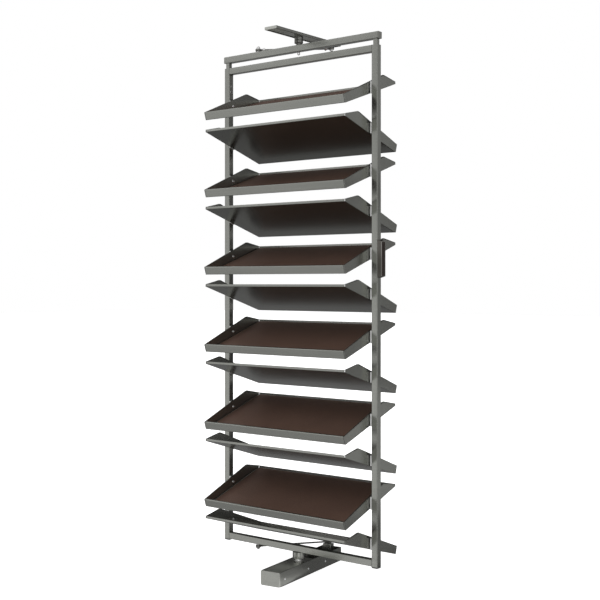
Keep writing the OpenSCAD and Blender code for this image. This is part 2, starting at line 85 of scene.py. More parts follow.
class Shader:
    """A small builder for one material's node tree."""

    def __init__(self, name):
        self.material = bpy.data.materials.new(name)
        self.material.use_nodes = True
        self.tree = self.material.node_tree
        self.bsdf = self.tree.nodes["Principled BSDF"]
        self.coords = self.node("ShaderNodeTexCoord").outputs["Object"]

    def node(self, kind, **settings):
        return add_node(self.tree, kind, **settings)

    def link(self, source, target):
        self.tree.links.new(source, target)

    def scaled(self, scale):
        mapping = self.node("ShaderNodeMapping")
        mapping.inputs["Scale"].default_value = scale
        self.link(self.coords, mapping.inputs["Vector"])
        return mapping.outputs["Vector"]

    def noise(self, scale, detail=2.0, stretch=EVEN):
        made = self.node("ShaderNodeTexNoise")
        made.inputs["Scale"].default_value = scale
        made.inputs["Detail"].default_value = detail
        self.link(self.scaled(stretch), made.inputs["Vector"])
        return made.outputs["Fac"]

    def ramp(self, source, low, high, at=(0.35, 0.65)):
        made = self.node("ShaderNodeValToRGB")
        made.color_ramp.elements[0].position = at[0]
        made.color_ramp.elements[1].position = at[1]
        made.color_ramp.elements[0].color = (*low, 1)
        made.color_ramp.elements[1].color = (*high, 1)
        self.link(source, made.inputs["Fac"])
        return made.outputs["Color"]

    def span(self, source, low, high):
        made = self.node("ShaderNodeMapRange")
        made.inputs["To Min"].default_value = low
        made.inputs["To Max"].default_value = high
        self.link(source, made.inputs["Value"])
        return made.outputs["Result"]

    def multiply(self, first, second, factor):
        """First colour times the second, mixed in by factor."""
        made = self.node("ShaderNodeMix", data_type="RGBA", blend_type="MULTIPLY")
        made.inputs["Factor"].default_value = factor
        self.link(first, made.inputs["A"])
        self.link(second, made.inputs["B"])
        return made.outputs["Result"]

    def bump(self, source, distance, strength):
        made = self.node("ShaderNodeBump")
        made.inputs["Distance"].default_value = distance
        made.inputs["Strength"].default_value = strength
        self.link(source, made.inputs["Height"])
        return made.outputs["Normal"]

    def surface(self, color, roughness, normal):
        self.link(color, self.bsdf.inputs["Base Color"])
        self.link(roughness, self.bsdf.inputs["Roughness"])
        self.link(normal, self.bsdf.inputs["Normal"])

    def set(self, **values):
        for key, value in values.items():
            self.bsdf.inputs[key.replace("_", " ")].default_value = value


def tint(color, factor):
    return tuple(min(1.0, c * factor) for c in color)


# ---------------------------------------------------------------- materials

WHITE = (1, 1, 1)
BRUSHING = 0.10
STROKES = (0.02, 1, 1)
TURNED_MARKS = (1, 1, 14)
DRAWN_MARKS = (14, 0.6, 14)
PORES = 700


def lacquer(name, color, roughness):
    """Satin metallic lacquer: fine flakes, brush strokes, slight orange peel, faint clouding."""
    s = Shader(name)
    flakes = s.ramp(s.noise(1400, detail=1), tint(color, 0.86), tint(color, 1.16))
    strokes = s.noise(160, detail=3, stretch=STROKES)
    drawn = s.multiply(flakes, s.span(strokes, 1 - BRUSHING, 1 + BRUSHING), 1.0)
    clouds = s.noise(3.0, detail=3)
    clouded = s.multiply(drawn, s.ramp(clouds, tint(WHITE, 0.88), WHITE), 0.5)
    peel = s.bump(s.noise(260), 0.00004, 0.5)
    s.surface(clouded, s.span(clouds, roughness * 0.9, roughness * 1.12), peel)
    s.set(Metallic=0.94, Coat_Weight=0.12, Coat_Roughness=0.22)
    return s.material


def plated(name, color, roughness, stretch=TURNED_MARKS):
    """Zinc or chrome plating, with fine turning or drawing marks."""
    s = Shader(name)
    marks = s.noise(220, detail=3, stretch=stretch)
    tone = s.ramp(marks, tint(color, 0.85), tint(color, 1.08))
    s.surface(tone, s.span(marks, roughness * 0.8, roughness * 1.25), s.bump(marks, 0.00003, 0.35))
    s.set(Metallic=1.0)
    return s.material


def leather(name, color, roughness):
    """Leather-look sheet: pebbled grain with darker creases and slow tone changes."""
    s = Shader(name)
    cells = s.node("ShaderNodeTexVoronoi", feature="F1")
    cells.inputs["Scale"].default_value = PORES
    s.link(s.scaled(EVEN), cells.inputs["Vector"])
    grain = cells.outputs["Distance"]
    tone = s.ramp(grain, tint(color, 1.15), tint(color, 0.75), at=(0.1, 0.8))
    clouds = s.ramp(s.noise(6, detail=4), tint(WHITE, 0.8), WHITE)
    rough = s.span(grain, roughness * 0.9, roughness * 1.1)
    s.surface(s.multiply(tone, clouds, 0.6), rough, s.bump(grain, 0.00012, 0.5))
    s.set(Specular_IOR_Level=0.22)
    return s.material


def moulded(name, color, roughness):
    """Moulded plastic with a fine spark-eroded texture."""
    s = Shader(name)
    spark = s.noise(1800)
    tone = s.ramp(spark, tint(color, 0.85), tint(color, 1.15))
    s.surface(tone, s.span(spark, roughness * 0.9, roughness * 1.1), s.bump(spark, 0.00004, 0.4))
    return s.material


TITANIUM = (0.33, 0.335, 0.31)
FINISHES = {
    "shelf_metal": (lacquer, TITANIUM, 0.26),
    "frame_metal": (lacquer, TITANIUM, 0.24),
    "rail_metal": (lacquer, tint(TITANIUM, 1.2), 0.27),
    "carriage_metal": (lacquer, tint(TITANIUM, 1.6), 0.27),
    "handle_metal": (lacquer, (0.157, 0.149, 0.133), 0.38),
    "bright_steel": (plated, (0.93, 0.93, 0.92), 0.34),
    "slide_steel": (plated, (0.55, 0.55, 0.54), 0.3, DRAWN_MARKS),
    "dark_steel": (plated, (0.22, 0.22, 0.205), 0.35, DRAWN_MARKS),
    "plug_plastic": (moulded, (0.12, 0.12, 0.115), 0.5),
    "handle_leather": (leather, (0.05, 0.038, 0.032), 0.5),
    "hanger_plastic": (moulded, (0.90, 0.90, 0.87), 0.4),
    "trim_metal": (plated, (0.50, 0.49, 0.46), 0.3),
    "stitch_thread": (moulded, (0.10, 0.08, 0.065), 0.7),
    "mat": (leather, (0.165, 0.100, 0.076), 0.45),
}
MATERIALS = {name: make(name, *look) for name, (make, *look) in FINISHES.items()}


def dress_nodes():
    """Gives every CAD node its slot's material; finer pieces then replace the nodes."""
    for row in RECORD["subparts"]:
        obj = NODES[row["node"]]
        obj.data.materials.clear()
        obj.data.materials.append(MATERIALS[row["material_slot"]])


# ---------------------------------------------------------------- mesh helpers

SHARP_ANGLE = math.radians(52)
ALONG_X = Matrix(((0, 0, 1, 0), (1, 0, 0, 0), (0, 1, 0, 0), (0, 0, 0, 1)))
ALONG_Y = Matrix(((1, 0, 0, 0), (0, 0, 1, 0), (0, 1, 0, 0), (0, 0, 0, 1)))
UPWARD = Matrix.Identity(4)
SIDES = (-1, 1)
FAR = 1000


def at(x, y, z):
    return Matrix.Translation((x, y, z))


def turned(degrees, axis):
    return Matrix.Rotation(math.radians(degrees), 4, axis)


def toward(start, end):
    """Matrix that puts the origin at start and +Z towards end."""
    span = Vector(end) - Vector(start)
    return at(*start) @ span.to_track_quat("Z", "Y").to_matrix().to_4x4()


def outward(side, x, y, z):
    """Matrix at x on one side whose +Z points away from the middle on that side."""
    return toward((side * x, y, z), (side * FAR, y, z))


def mirrored(side):
    return Matrix.Scale(side, 4, (1, 0, 0))


def rounded(points, radii, steps=3):
    """Closed outline whose corners are replaced by arcs, with one radius for all or one each."""
    if isinstance(radii, (int, float)):
        radii = [radii] * len(points)
    outline = []
    for k, corner in enumerate(points):
        here = Vector(corner)
        before = Vector(points[k - 1]) - here
        after = Vector(points[(k + 1) % len(points)]) - here
        if radii[k] <= 0:
            outline.append(tuple(here))
            continue
        half = before.angle(after) / 2
        cut = min(radii[k] / math.tan(half), 0.49 * before.length, 0.49 * after.length)
        first = here + before.normalized() * cut
        last = here + after.normalized() * cut
        inward = (before.normalized() + after.normalized()).normalized()
        middle = here + inward * (cut / math.cos(half))
        spoke = first - middle
        sweep = spoke.angle_signed(last - middle)
        for n in range(steps + 1):
            turn = Matrix.Rotation(-sweep * n / steps, 2)
            outline.append(tuple(middle + turn @ spoke))
    return outline


def rectangle(width, height, radius=0, steps=3):
    x, y = width / 2, height / 2
    return rounded([(-x, -y), (x, -y), (x, y), (-x, y)], radius, steps)


def circle(radius, sides=32):
    return [
        (radius * math.cos(math.tau * n / sides), radius * math.sin(math.tau * n / sides))
        for n in range(sides)
    ]


class Piece:
    """One visible piece, drawn in millimetres from closed shells."""

    def __init__(self, name):
        self.name = name
        self.bm = bmesh.new()

    def join(self, shell, matrix):
        bmesh.ops.transform(shell, matrix=Matrix.Scale(MM, 4) @ matrix, verts=shell.verts)
        bmesh.ops.recalc_face_normals(shell, faces=shell.faces)
        scratch = bpy.data.meshes.new("scratch")
        shell.to_mesh(scratch)
        shell.free()
        self.bm.from_mesh(scratch)
        bpy.data.meshes.remove(scratch)

    def prism(self, outline, depth, matrix=UPWARD, edge=0.0, folds=None, fold_radius=1.0):
        """An outline pulled up +Z; edges that folds() picks are bent, and the end edges eased."""
        shell = bmesh.new()
        face = shell.faces.new([shell.verts.new((u, v, 0)) for u, v in outline])
        top = bmesh.ops.extrude_face_region(shell, geom=[face])["geom"]
        risen = [v for v in top if isinstance(v, bmesh.types.BMVert)]
        bmesh.ops.translate(shell, vec=(0, 0, depth), verts=risen)

        def around_ends(a, b):
            return a.z == b.z

        for radius, wanted in ((fold_radius, folds), (edge, around_ends)):
            if wanted and radius > 0:
                chosen = [e for e in shell.edges if wanted(e.verts[0].co, e.verts[1].co)]
                bmesh.ops.bevel(
                    shell, geom=chosen, offset=radius, segments=3, profile=0.5,
                    affect="EDGES", clamp_overlap=True,
                )
        self.join(shell, matrix)

    def loft(self, rings, matrix=UPWARD, endless=False):
        """Skin over rings of equal count, capped unless the last ring meets the first."""
        shell = bmesh.new()
        made = [[shell.verts.new(p) for p in ring] for ring in rings]
        pairs = list(zip(made, made[1:]))
        if endless:
            pairs.append((made[-1], made[0]))
        for low, high in pairs:
            for k in range(len(low)):
                n = (k + 1) % len(low)
                shell.faces.new((low[k], low[n], high[n], high[k]))
        if not endless:
            shell.faces.new(made[0])
            shell.faces.new(made[-1])
        self.join(shell, matrix)

    def lathe(self, profile, matrix=UPWARD, sides=32, endless=False):
        """Turned solid around +Z from (radius, height) points."""
        rings = [[(x, y, z) for x, y in circle(max(r, 0.02), sides)] for r, z in profile]
        self.loft(rings, matrix, endless)

    def disc(self, radius, low, high, matrix=UPWARD, ease=0.4, sides=32):
        """Round solid between two heights with eased edges."""
        self.lathe(
            [
                (radius - ease, low),
                (radius - 0.3 * ease, low + 0.3 * ease),
                (radius, low + ease),
                (radius, high - ease),
                (radius - 0.3 * ease, high - 0.3 * ease),
                (radius - ease, high),
            ],
            matrix, sides,
        )

    def collar(self, radius, bore, low, high, matrix=UPWARD, ease=0.4, sides=32):
        """Round solid with a through bore."""
        self.lathe(
            [
                (bore, low + ease),
                (bore + ease, low),
                (radius - ease, low),
                (radius, low + ease),
                (radius, high - ease),
                (radius - ease, high),
                (bore + ease, high),
                (bore, high - ease),
            ],
            matrix, sides, endless=True,
        )

    def tube(self, outer, inner, length, matrix=UPWARD):
        """Hollow section along +Z between two outlines of equal count."""
        ends = ((outer, 0), (outer, length), (inner, length), (inner, 0))
        self.loft([[(u, v, z) for u, v in line] for line, z in ends], matrix, endless=True)

    def hexagon(self, across, low, high, matrix=UPWARD):
        corners = circle(across / 2 / math.cos(math.pi / 6), 6)
        self.prism(corners, high - low, matrix @ at(0, 0, low), edge=0.6)

    def thread(self, radius, low, high, matrix=UPWARD, pitch=1.5):
        """Threaded length, cut as fine grooves."""
        turns = int((high - low) / pitch)
        profile = [(radius * 0.86, low)]
        for n in range(turns):
            profile.append((radius, low + (n + 0.3) * pitch))
            profile.append((radius, low + (n + 0.5) * pitch))
            profile.append((radius * 0.86, low + (n + 0.9) * pitch))
        profile.append((radius * 0.8, high))
        self.lathe(profile, matrix, sides=20)

    def done(self, body, slot, *nodes):
        mesh = bpy.data.meshes.new(self.name)
        self.bm.to_mesh(mesh)
        self.bm.free()
        mesh.polygons.foreach_set("use_smooth", [True] * len(mesh.polygons))
        mesh.set_sharp_from_angle(angle=SHARP_ANGLE)
        mesh.materials.append(MATERIALS[slot])
        obj = bpy.data.objects.new(self.name, mesh)
        bpy.context.collection.objects.link(obj)
        even = obj.modifiers.new("even", "WEIGHTED_NORMAL")
        even.keep_sharp = True
        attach(obj, body)
        if nodes:
            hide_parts(*nodes)
        return obj


# ---------------------------------------------------------------- sizes, millimetres

HALF_WIDTH = 370
TUBE = 25
TUBE_WALL = 1.5
TUBE_RADIUS = 2.2
PLUG_RADIUS = 2.4
PLUG_CORE = (21.8, 21.8, 0.8)
UPRIGHT_X = 357.5
INNER_X = 345
SHELF_X = 335.5
FRAME_LOW = 85.5
FRAME_TOP = 1966
BEAM_Z = 1987.5
BEAM_TOP = 2012.5

SHELVES = range(1, 13)
SHELF_TOP = 1794.8
SHELF_PITCH = 150
SHELF_LENGTH = 334.9
FRONT_TILT = 19.2
BACK_TILT = 17.1
SHEET = 1.2
LIP = 31.3
LIP_LEAN = 0.7
LIP_FOLD = 8
PEAK = 48.5
PEAK_BACK = 68.2
PEAK_CUT = 4
HEM = 9
HEM_LEAN = 1.8
SIDE_FOLD = 4
SEAM = 2.6
MAT_X = 330.3
MAT_FRONT = 4
MAT_RADIUS = 9
SCREW_RISE = 19
HANGER_RISE = 41
HANGER_GAP = 3.2

POST = 17
POST_RADIUS = 1.5
POST_LOW = 1800
CLAMP_SCREWS = ((1894, 5), (1872, 8))
GUIDE_LENGTH = 30
FOOT_HEIGHT = 5
WELD_STEPS = 8
WELD_HEIGHT = 0.45
WELD_HALF = 0.7
BEAM_CAP = 3.5

HANDLE_Z = 1195
HANDLE_LENGTH = 138
HANDLE_OUT = 17.5
HANDLE_DROP = (5, 7)
STITCH_STEP = 4.5

PIN_RADIUS = 4
CRANK = 203
PIN_CLEARANCE = 0.3
HOUSING_LOW = 60.5


def faces_front(i):
    return i % 2 == 1


def shelf_height(i):
    return SHELF_TOP - SHELF_PITCH * (i - 1)


def shelf_tilt(i):
    return FRONT_TILT if faces_front(i) else BACK_TILT


def shelf_place(i):
    """Local frame of a shelf: x across, y up the slope from the low edge, z off the sheet."""
    facing = turned(0 if faces_front(i) else 180, "Z")
    sloped = facing @ turned(shelf_tilt(i), "X")
    return at(0, 0, shelf_height(i)) @ sloped @ at(0, -SHELF_LENGTH / 2, 0)


# ---------------------------------------------------------------- shelves


def shelf_sheet(piece, matrix):
    """Lip with its return, floor and hem, bent from one sheet between the side panels."""
    top, end = LIP - SHEET, SHELF_LENGTH
    outline = rounded(
        [
            (0, 0),
            (end, 0),
            (end + HEM_LEAN, HEM),
            (end + HEM_LEAN - SHEET, HEM),
            (end - SHEET, SHEET),
            (SHEET, SHEET),
            (SHEET + LIP_LEAN, top),
            (LIP_FOLD, top),
            (LIP_FOLD, LIP),
            (LIP_LEAN, LIP),
        ],
        [2.4, 2.4, 0.5, 0.5, 1.2, 1.2, 1.4, 0.5, 0.5, 2.6],
        steps=4,
    )
    half = SHELF_X - SHEET - SEAM
    piece.prism(outline, 2 * half, matrix @ at(-half, 0, 0) @ ALONG_X)


def side_top():
    """Corners of a side panel's top edge, from the lip over the peak to the hem."""
    peak = SHELF_LENGTH - PEAK_BACK
    end = SHELF_LENGTH + HEM_LEAN
    rise = (PEAK - LIP) / (peak - LIP_LEAN)
    fall = (PEAK - HEM) / (end - peak)
    return [
        (LIP_LEAN, LIP),
        (peak - PEAK_CUT, PEAK - rise * PEAK_CUT),
        (peak + PEAK_CUT, PEAK - fall * PEAK_CUT),
        (end, HEM),
    ]


def side_panel(piece, matrix):
    """Side panel at x = 0 to +x, with its top edge folded inwards and a tab behind the lip."""
    top = side_top()
    sheet = rounded([(0, 0)] + top + [(SHELF_LENGTH, 0)], [1.5, 1.5, 1.2, 1.2, 1, 1.5])
    tail = (top[-1][0] - 1, top[-1][1])
    band = top + [(u, v - SHEET) for u, v in reversed(top[:-1] + [tail])]

    def on_top(a, b):
        return a.z == b.z == 0 and min(a.y, b.y) > HEM - 0.5

    def on_ridge(a, b):
        crest = max(a.y, b.y) > LIP - 0.1 and abs(a.x - b.x) > 2
        return a.z == b.z == 0 and crest and on_outer(a, top) and on_outer(b, top)

    piece.prism(sheet, SHEET, matrix @ ALONG_X, folds=on_top, fold_radius=1.0)
    piece.prism(band, SIDE_FOLD, matrix @ ALONG_X, edge=0.3, folds=on_ridge, fold_radius=1.0)
    tab = rectangle(11, LIP - 2 * SHEET - 2, 1.0)
    tab_place = at(SHEET + 5.5, SHEET + LIP_LEAN + 0.2, LIP / 2)
    piece.prism(tab, SHEET, matrix @ tab_place @ ALONG_Y, edge=0.3)


def on_outer(point, top):
    return any(abs(point.x - u) < 0.01 and abs(point.y - v) < 0.01 for u, v in top)


def make_shelf(i):
    piece = Piece(f"shelf_{i:02d}_sheet")
    place = shelf_place(i)
    shelf_sheet(piece, place)
    for side in (1, -1):
        side_panel(piece, place @ mirrored(side) @ at(-SHELF_X, 0, 0))
    piece.done("frame", "shelf_metal", f"shelf_{i:02d}")


def make_painted_seam_shade():
    """Dark strips in the upright corners between lips and side panels: painted shade standing in
    for the shadow inside the open corner seams.
    """
    piece = Piece("shelf_corner_painted_shade")
    for i in SHELVES:
        for side in SIDES:
            x = side * (SHELF_X - SHEET - SEAM / 2)
            lean = math.degrees(math.atan(LIP_LEAN / LIP))
            matrix = shelf_place(i) @ at(x, 0.75, 1.2) @ turned(-lean, "X")
            piece.prism(rectangle(SEAM + 0.2, 1.1, 0.4, 2), LIP - 2.4, matrix, edge=0.2)
    piece.done("frame", "plug_plastic")


def make_mat(i):
    """Liner with a pressed border line and eased edges."""
    piece = Piece(f"mat_{i:02d}_liner")
    width, depth = 2 * MAT_X, SHELF_LENGTH - 2 * MAT_FRONT
    edge = ((0.5, 0), (0, 0.5), (0, 1.3), (0.7, 2.0))
    pressed_line = ((6.0, 2.0), (6.8, 1.6), (7.6, 1.6), (8.4, 2.0))
    rings = []
    for inset, height in edge + pressed_line:
        outline = rectangle(width - 2 * inset, depth - 2 * inset, MAT_RADIUS - inset, 5)
        rings.append([(u, v, height) for u, v in outline])
    piece.loft(rings, shelf_place(i) @ at(0, SHELF_LENGTH / 2, SHEET))
    piece.done("frame", "mat", f"mat_{i:02d}")


def screw_place(i, side):
    """+Z points outwards from the frame's middle, with its origin in the panel's outer face."""
    return outward(side, SHELF_X, 0, shelf_height(i) + SCREW_RISE)


def button_head(piece, matrix, radius, height, socket):
    """Domed head on the -Z side of z = 0 with a hexagon socket."""
    dome = [(radius * math.cos(a), -height * math.sin(a)) for a in (0, 0.25, 0.5, 0.75, 1.0, 1.2)]
    rim = socket / 2
    floor = -height * 0.35
    recess = [(rim + 0.25, -height * 0.985), (rim, -height * 0.9), (rim, floor), (0, floor)]
    piece.lathe([(radius * 0.98, 0.3)] + dome + recess, matrix)


def make_shelf_screws():
    piece = Piece("shelf_screw_heads")
    for i in SHELVES:
        for side in SIDES:
            matrix = screw_place(i, side)
            button_head(piece, matrix @ at(0, 0, -SHEET), 5.5, 2.5, 4)
            piece.disc(2.5, -SHEET + 0.1, 12, matrix, sides=16)
    piece.done("frame", "bright_steel", "shelf_screws")


def make_hangers(side, node):
    """Hanger blocks on the uprights, with a spacer bush between each block and its shelf."""
    piece = Piece(f"{node}_blocks")
    block = (INNER_X - SHELF_X) - HANGER_GAP
    half = TUBE / 2
    start = INNER_X - block if side > 0 else -INNER_X
    for i in SHELVES:
        slope = math.tan(math.radians(shelf_tilt(i))) * (1 if faces_front(i) else -1)
        foot = [(-half, -half * slope), (half, half * slope)]
        outline = rounded(foot + [(half, HANGER_RISE), (-half, HANGER_RISE)], 1.5)
        piece.prism(outline, block, at(start, 0, shelf_height(i)) @ ALONG_X, edge=0.8)
        piece.collar(8, 2.7, 0.05, HANGER_GAP, screw_place(i, side))
    piece.done("frame", "hanger_plastic", node)


# ---------------------------------------------------------------- frame


def square_section(side, radius):
    return rectangle(side, side, radius)


def section_tube(piece, matrix, length, side=TUBE, radius=TUBE_RADIUS):
    inner = square_section(side - 2 * TUBE_WALL, max(radius - TUBE_WALL, 0.3))
    piece.tube(square_section(side, radius), inner, length, matrix)


def make_upright(side, node):
    piece = Piece(f"{node}_tube")
    section_tube(piece, at(side * UPRIGHT_X, 0, FRAME_LOW), FRAME_TOP - FRAME_LOW)
    piece.done("frame", "frame_metal", node)


def make_bar(name, body, half, z, node):
    piece = Piece(name)
    section_tube(piece, at(-half, 0, z + TUBE / 2) @ ALONG_X, 2 * half)
    piece.done(body, "frame_metal", node)


def make_weld_beads():
    """Thin ground welds where the crossbars meet the uprights."""
    piece = Piece("frame_welds")
    for z in (FRAME_LOW, FRAME_TOP - TUBE):
        for side in SIDES:
            rings = []
            middle = (side * INNER_X, 0, z + TUBE / 2)
            for k in range(WELD_STEPS):
                angle = math.tau * k / WELD_STEPS
                reach = TUBE / 2 + 0.25 + WELD_HEIGHT * math.sin(angle)
                shift = WELD_HALF * math.cos(angle)
                outline = square_section(2 * reach, PLUG_RADIUS)
                rings.append([(shift, u, v) for u, v in outline])
            piece.loft(rings, at(*middle), endless=True)
    piece.done("frame", "frame_metal")


def make_posts():
    for side, node in ((-1, "left_post"), (1, "right_post")):
        piece = Piece(f"{node}_tube")
        place = at(side * UPRIGHT_X, 0, POST_LOW)
        section_tube(piece, place, BEAM_Z - POST_LOW, POST, POST_RADIUS)
        piece.done("top_beam", "frame_metal", node)


def make_guides():
    """Plastic guides in the uprights' mouths, ending just below the tube's end."""
    piece = Piece("post_guide_bushes")
    for side in SIDES:
        matrix = at(side * UPRIGHT_X, 0, FRAME_TOP - GUIDE_LENGTH)
        outer, inner = rectangle(21.9, 21.9, 0.8), rectangle(17.6, 17.6, 0.6)
        piece.tube(outer, inner, GUIDE_LENGTH - 0.5, matrix)
    piece.done("frame", "plug_plastic", "post_guides")


def make_feet():
    piece = Piece("upright_end_plugs")
    for side in SIDES:
        low = at(side * UPRIGHT_X, 0, FRAME_LOW - FOOT_HEIGHT)
        piece.prism(square_section(TUBE, PLUG_RADIUS), FOOT_HEIGHT, low, edge=1.2)
        piece.prism(rectangle(*PLUG_CORE), 18, at(side * UPRIGHT_X, 0, FRAME_LOW))
    piece.done("frame", "plug_plastic", "upright_feet")


def make_clamp_screws():
    """Socket set screws that hold the telescoping posts, sunk in bright collars."""
    screws = Piece("post_clamp_set_screws")
    collars = Piece("post_clamp_collars")
    for side in SIDES:
        for z, size in CLAMP_SCREWS:
            radius = size * 0.5
            matrix = outward(side, INNER_X, 0, z)
            screws.collar(radius, size * 0.26, -0.5, 3.4, matrix, ease=0.2, sides=24)
            screws.disc(size * 0.3, 1.4, 3.0, matrix, ease=0.1, sides=24)
            collars.collar(radius + 1.6, radius + 0.1, -0.4, 0.2, matrix, ease=0.15)
    screws.done("frame", "dark_steel", "post_clamp_screws")
    collars.done("frame", "bright_steel")


def make_beam_caps():
    piece = Piece("beam_end_plugs")
    for side in SIDES:
        start = HALF_WIDTH if side > 0 else -HALF_WIDTH - BEAM_CAP
        matrix = at(start, 0, BEAM_Z + TUBE / 2) @ ALONG_X
        piece.prism(square_section(TUBE, PLUG_RADIUS), BEAM_CAP, matrix, edge=0.9)
        inner = at(side * HALF_WIDTH - (10 if side > 0 else 0), 0, BEAM_Z + TUBE / 2) @ ALONG_X
        piece.prism(rectangle(*PLUG_CORE), 10, inner)
    piece.done("top_beam", "frame_metal", "beam_end_caps")


# ---------------------------------------------------------------- handle


def make_handle():
    """Bar handle on the right upright: bronze body, pale trim, stitched leather face."""
    low, high = HANDLE_Z - HANDLE_LENGTH / 2, HANDLE_Z + HANDLE_LENGTH / 2
    face_low, face_high = low + HANDLE_DROP[0], high - HANDLE_DROP[1]
    body = Piece("handle_bar")
    corners = [(0, low), (HANDLE_OUT, face_low), (HANDLE_OUT, face_high), (0, high)]
    outline = rounded(corners, [0.6, 3, 3, 0.6], 4)
    body.prism(outline, TUBE, at(HALF_WIDTH, -TUBE / 2, 0) @ ALONG_Y, edge=1.2)
    body.done("frame", "handle_metal", "handle_body")

    middle = (face_low + face_high) / 2
    tall = face_high - face_low
    face = at(HALF_WIDTH + HANDLE_OUT, 0, middle) @ ALONG_X
    trim = Piece("handle_trim")
    trim.tube(rectangle(TUBE, tall, 2.5), rectangle(TUBE - 3.4, tall - 3.4, 1.2), 1.3, face)
    trim.done("frame", "trim_metal")

    pad = Piece("handle_pad")
    rings = []
    for inset, height in ((0, 0), (0, 0.7), (0.5, 1.2), (3.0, 1.35), (4.5, 1.45)):
        shy = 3.6 + 2 * inset
        outline = rectangle(TUBE - shy, tall - shy, max(1.6 - inset, 0.4))
        rings.append([(u, v, height) for u, v in outline])
    pad.loft(rings, face)
    pad.done("frame", "handle_leather", "handle_insert")

    stitches = Piece("handle_stitches")
    bead = [(0.1, -1.5), (0.28, -1.2), (0.36, 0), (0.28, 1.2), (0.1, 1.5)]
    for side in SIDES:
        for n in range(int((tall - 12) / STITCH_STEP)):
            along = -tall / 2 + 8 + n * STITCH_STEP
            stitches.lathe(bead, face @ at(side * 8.6, along, 1.22) @ turned(90, "X"), sides=8)
    stitches.done("frame", "stitch_thread")


def make_frame_screws():
    """Screws of the feet, the pivot housing and the handle."""
    piece = Piece("frame_screw_set")
    for side in SIDES:
        foot = at(side * (INNER_X - 5), 0, FRAME_LOW)
        piece.disc(3.75, -1.8, 0, foot, ease=0.6)
        piece.disc(2, -0.2, 5, foot, sides=16)
        housing = at(side * 17, 0, HOUSING_LOW)
        piece.collar(4.3, 2.0, 1, 5, housing, ease=0.4)
        piece.disc(2.5, 3, 28, housing, sides=16)
        grip = outward(1, HALF_WIDTH, 0, HANDLE_Z + side * HANDLE_LENGTH * 0.33)
        piece.disc(2, -2.5, HANDLE_OUT - 2.5, grip, sides=16)
    piece.done("frame", "bright_steel", "frame_screws")


# ---------------------------------------------------------------- base rail

BASE_TURN = 7.5
BASE_HALF = 41
BASE_HEIGHT = 54
BASE_WALL = 2
CHANNEL_FRONT = -191.2
BASE_REAR = 261
CAP_FRONT = -203
COVER_REAR = 45
LOW_PIN = 235
LOW_ROD_Z = 76
ANCHOR_TOP = 82
FLOOR_SCREWS_Y = (-180, 180)
SIDE_SCREWS_Y = (-165, 4, 134)
SIDE_SCREWS_Z = 25
CARRIAGE_FRONT = -190.5
CARRIAGE_TOP = 53.5
WEB_REAR = 150
PIVOT_LOW = 12.2
PIVOT_TOP = 82.5
BALL = 1.35
BALL_ROWS_Z = (10.2, 39.8)
BALL_FIRST_Y = -150
BALL_STEP = 24
BALLS_IN_ROW = 14
IN_BASE = turned(BASE_TURN, "Z")


def make_base_rail():
    rail = Piece("base_rail")
    x, z, wall = BASE_HALF, BASE_HEIGHT, BASE_WALL
    section = rounded(
        [
            (-x, 0), (x, 0), (x, z), (x - wall, z),
            (x - wall, wall), (wall - x, wall), (wall - x, z), (-x, z),
        ],
        [2.6, 2.6, 0.8, 0.8, 1.2, 1.2, 0.8, 0.8],
    )
    front = IN_BASE @ at(0, CHANNEL_FRONT, 0) @ ALONG_Y
    rail.prism(section, BASE_REAR - CHANNEL_FRONT - wall, front, edge=0.4)
    rear = IN_BASE @ at(0, BASE_REAR - wall, z / 2) @ ALONG_Y
    rail.prism(rectangle(2 * x, z, 2.4), wall, rear, edge=0.7)
    for along in FLOOR_SCREWS_Y:
        rail.collar(6.5, 2.8, wall - 0.2, wall + 0.6, IN_BASE @ at(0, along, 0), ease=0.2)
    rail.done("base", "rail_metal", "base_channel")

    post = Piece("anchor_block")
    post.prism(rectangle(36, 30, 2.5), 68.5, IN_BASE @ at(0, 228, wall), edge=1.5)
    post.done("base", "rail_metal", "anchor_post")

    stud = Piece("anchor_nut_set")
    pin = IN_BASE @ at(0, LOW_PIN, 0)
    stud.disc(PIN_RADIUS, 46.5, ANCHOR_TOP, pin, sides=24)
    stud.thread(PIN_RADIUS, ANCHOR_TOP, 87.5, pin)
    stud.collar(8, PIN_RADIUS, 81.1, 82.2, pin, ease=0.2)
    stud.hexagon(13, 82.1, 86.3, pin)
    stud.done("base", "bright_steel", "anchor_stud")

    screws = Piece("rail_side_screws")
    for side in SIDES:
        for along in SIDE_SCREWS_Y:
            head = IN_BASE @ outward(side, BASE_HALF, along, SIDE_SCREWS_Z)
            button_head(screws, head @ turned(180, "X"), 4.6, 2.2, 2.2)
            screws.disc(2, -2.7, 0.4, head, sides=16)
    screws.done("base", "bright_steel", "side_screws")


def slide_section(depth, height, wall, hook):
    """C section of a drawer slide with turned-in ball races, open towards -u."""
    return rounded(
        [
            (0, 0), (depth, 0), (depth, height), (0, height),
            (0, height - hook), (wall, height - hook), (wall, height - wall),
            (depth - wall, height - wall), (depth - wall, wall),
            (wall, wall), (wall, hook), (0, hook),
        ],
        [0.8, 0.8, 0.8, 0.8, 0.3, 0.3, 0.4, 0.6, 0.6, 0.4, 0.3, 0.3],
        steps=2,
    )


